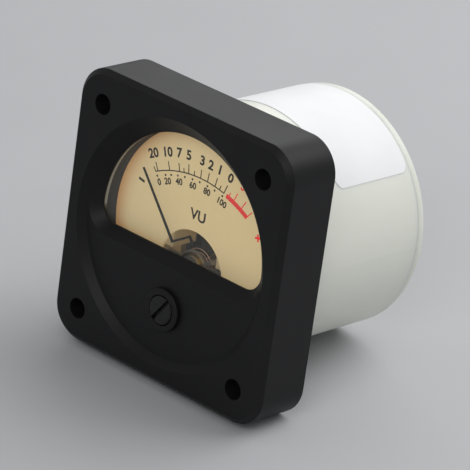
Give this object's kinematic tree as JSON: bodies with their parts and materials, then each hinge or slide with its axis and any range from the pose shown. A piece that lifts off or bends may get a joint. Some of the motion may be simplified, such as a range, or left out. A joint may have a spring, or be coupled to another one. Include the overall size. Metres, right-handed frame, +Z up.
{
  "type": "panel meter",
  "caption": "Square panel meter for audio level, with a half-round lit window, a pointer over a dial, a zero screw and a round case behind the panel.",
  "frame": {"origin": "centre of the bezel's rear face, where it meets the panel, on the axis of the barrel", "axes": "-Y out of the front of the meter, +Y back through the panel, +Z up the dial, +X to the reader's right"},
  "size_m": [0.045, 0.0421, 0.045],
  "materials": {
    "black_moulding": "satin",
    "clear_pane": "clear",
    "screw_black": "satin",
    "milky_case": "satin",
    "label_paper": "matt",
    "cream_frame": "matt",
    "dial_paint": "matt",
    "bright_steel": "satin",
    "tinned": "satin",
    "brass": "satin",
    "bronze_spring": "satin",
    "aluminium": "satin",
    "black_paint": "matt",
    "copper_wire": "enamelled",
    "magnet": "ground",
    "soft_iron": "plated",
    "green_board": "satin",
    "lamp_clear": "clear",
    "component_body": "gloss",
    "resistor_body": "gloss",
    "wire_cover": "satin"
  },
  "bodies": {
    "housing": {"bezel": "black_moulding", "window_pane": "clear_pane", "case_barrel": "milky_case", "back_cover": "milky_case", "case_label": "label_paper", "movement_frame": "cream_frame", "dial_plate": "dial_paint", "dial_screws": "bright_steel", "front_bridge": "brass", "bridge_screws": "bright_steel", "stop_pins": "bright_steel", "front_bushing": "tinned", "front_jewel_screw": "brass", "lever_washer": "bright_steel", "rear_hairspring": "bronze_spring", "core_magnet": "magnet", "core_pins": "brass", "yoke_ring": "soft_iron", "yoke_screws": "bright_steel", "rear_bridge": "brass", "rear_bridge_screws": "bright_steel", "rear_jewel_screw": "brass", "rear_jewel_nut": "brass", "led_board": "green_board", "led_lamps": "lamp_clear", "led_board_screws": "bright_steel", "circuit_board": "green_board", "board_screws": "bright_steel", "diodes": "component_body", "resistor": "resistor_body", "terminals": "tinned", "lead_wires": "wire_cover"},
    "pointer_system": {"pointer": "black_paint", "balance_cross": "aluminium", "balance_weights": "tinned", "front_pivot": "bright_steel", "rear_pivot": "bright_steel", "spring_collets": "brass", "coil_former": "aluminium", "coil_winding": "copper_wire"},
    "zero_screw": {"zero_screw": "screw_black", "zero_cam": "brass"},
    "zero_lever": {"zero_lever": "aluminium", "front_hairspring": "bronze_spring"}
  },
  "joints": [
    {"name": "pointer_swing", "type": "hinge", "parent": "housing", "child": "pointer_system", "pos_m": [0, 0, -0.0048], "axis": [0, 1, 0], "range_deg": [-2, 84], "stiffness_Nm_per_rad": 0.000003},
    {"name": "zero_screw_turn", "type": "hinge", "parent": "housing", "child": "zero_screw", "pos_m": [0, 0, -0.01075], "axis": [0, 1, 0], "range_deg": [-40, 40]},
    {"name": "zero_lever_turn", "type": "hinge", "parent": "housing", "child": "zero_lever", "pos_m": [0, 0, -0.0048], "axis": [0, 1, 0], "range_deg": [-5.8, 5.8]}
  ],
  "couplings": [
    {"joint": "zero_lever_turn", "follows": "zero_screw_turn", "ratio": 0.1439}
  ]
}
